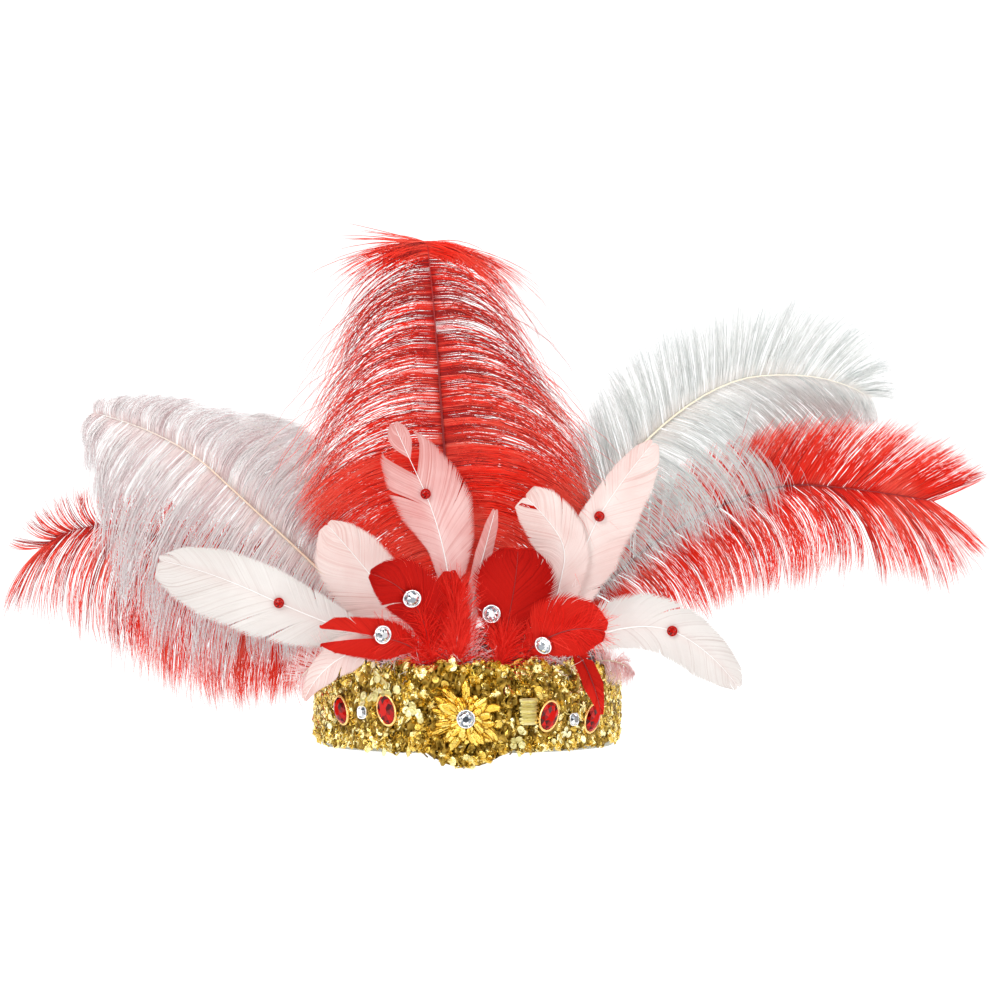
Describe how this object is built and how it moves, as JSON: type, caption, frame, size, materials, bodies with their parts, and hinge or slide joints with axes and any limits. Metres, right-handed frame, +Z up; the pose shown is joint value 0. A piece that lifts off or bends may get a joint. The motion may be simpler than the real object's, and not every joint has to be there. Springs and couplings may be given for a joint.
{
  "type": "carnival feather headdress",
  "caption": "Head band with gold gimp trim and stones, black felt backing and a fan of red and white ostrich plumes and goose feathers.",
  "frame": {"origin": "middle of the head opening, level with the lower rim of the head band, where a head carries it", "axes": "+X to the viewer's right across the fan, -Y out of the front, +Z up"},
  "size_m": [0.5552, 0.2296, 0.3005],
  "materials": {
    "black_felt": "matt black felt",
    "cream_cloth": "pale cream woven cloth",
    "gold_gimp": "metallic gold gimp braid, bright with dark gaps",
    "red_feather": "dyed red feather, soft sheen",
    "deep_red_feather": "dyed deep red feather, glossy vane",
    "white_feather": "white feather, soft sheen",
    "pink_white_feather": "white feather with a faint pink tint",
    "rim_gold": "plated gold rim",
    "red_stone": "clear red acrylic, polished",
    "clear_stone": "clear acrylic with foil back and silver rim"
  },
  "bodies": {
    "root": {"feather_backing": "black_felt", "head_band": "cream_cloth", "gold_trim": "gold_gimp", "centre_flower": "gold_gimp", "plume_centre_red": "red_feather", "plume_left_red": "red_feather", "plume_right_red": "red_feather", "goose_red_left_cup": "red_feather", "goose_red_left_split": "red_feather", "goose_red_right_fan": "red_feather", "goose_red_right_sliver": "red_feather", "goose_red_right_cup": "deep_red_feather", "goose_red_centre_fluff": "deep_red_feather", "plume_left_white": "white_feather", "plume_left_white_rear": "white_feather", "plume_right_white": "white_feather", "goose_centre_white": "white_feather", "goose_left_lower_white": "white_feather", "goose_left_upper_white": "white_feather", "goose_right_lower_white": "white_feather", "goose_centre_sliver_white": "white_feather", "goose_right_upper_white": "pink_white_feather", "goose_right_rear_white": "pink_white_feather", "goose_left_hanging_white": "pink_white_feather", "down_left_white": "pink_white_feather", "down_right_white": "pink_white_feather", "oval_left_inner_setting": "rim_gold", "oval_right_inner_setting": "rim_gold", "oval_left_outer_setting": "rim_gold", "oval_right_outer_setting": "rim_gold", "oval_left_inner": "red_stone", "oval_right_inner": "red_stone", "oval_left_outer": "red_stone", "oval_right_outer": "red_stone", "red_stone_centre": "red_stone", "red_stone_left": "red_stone", "red_stone_right_high": "red_stone", "red_stone_right": "red_stone", "square_stone_left": "clear_stone", "square_stone_right": "clear_stone", "centre_stone": "clear_stone", "clear_stone_left": "clear_stone", "clear_stone_left_low": "clear_stone", "clear_stone_centre": "clear_stone", "clear_stone_right": "clear_stone"}
  },
  "joints": []
}
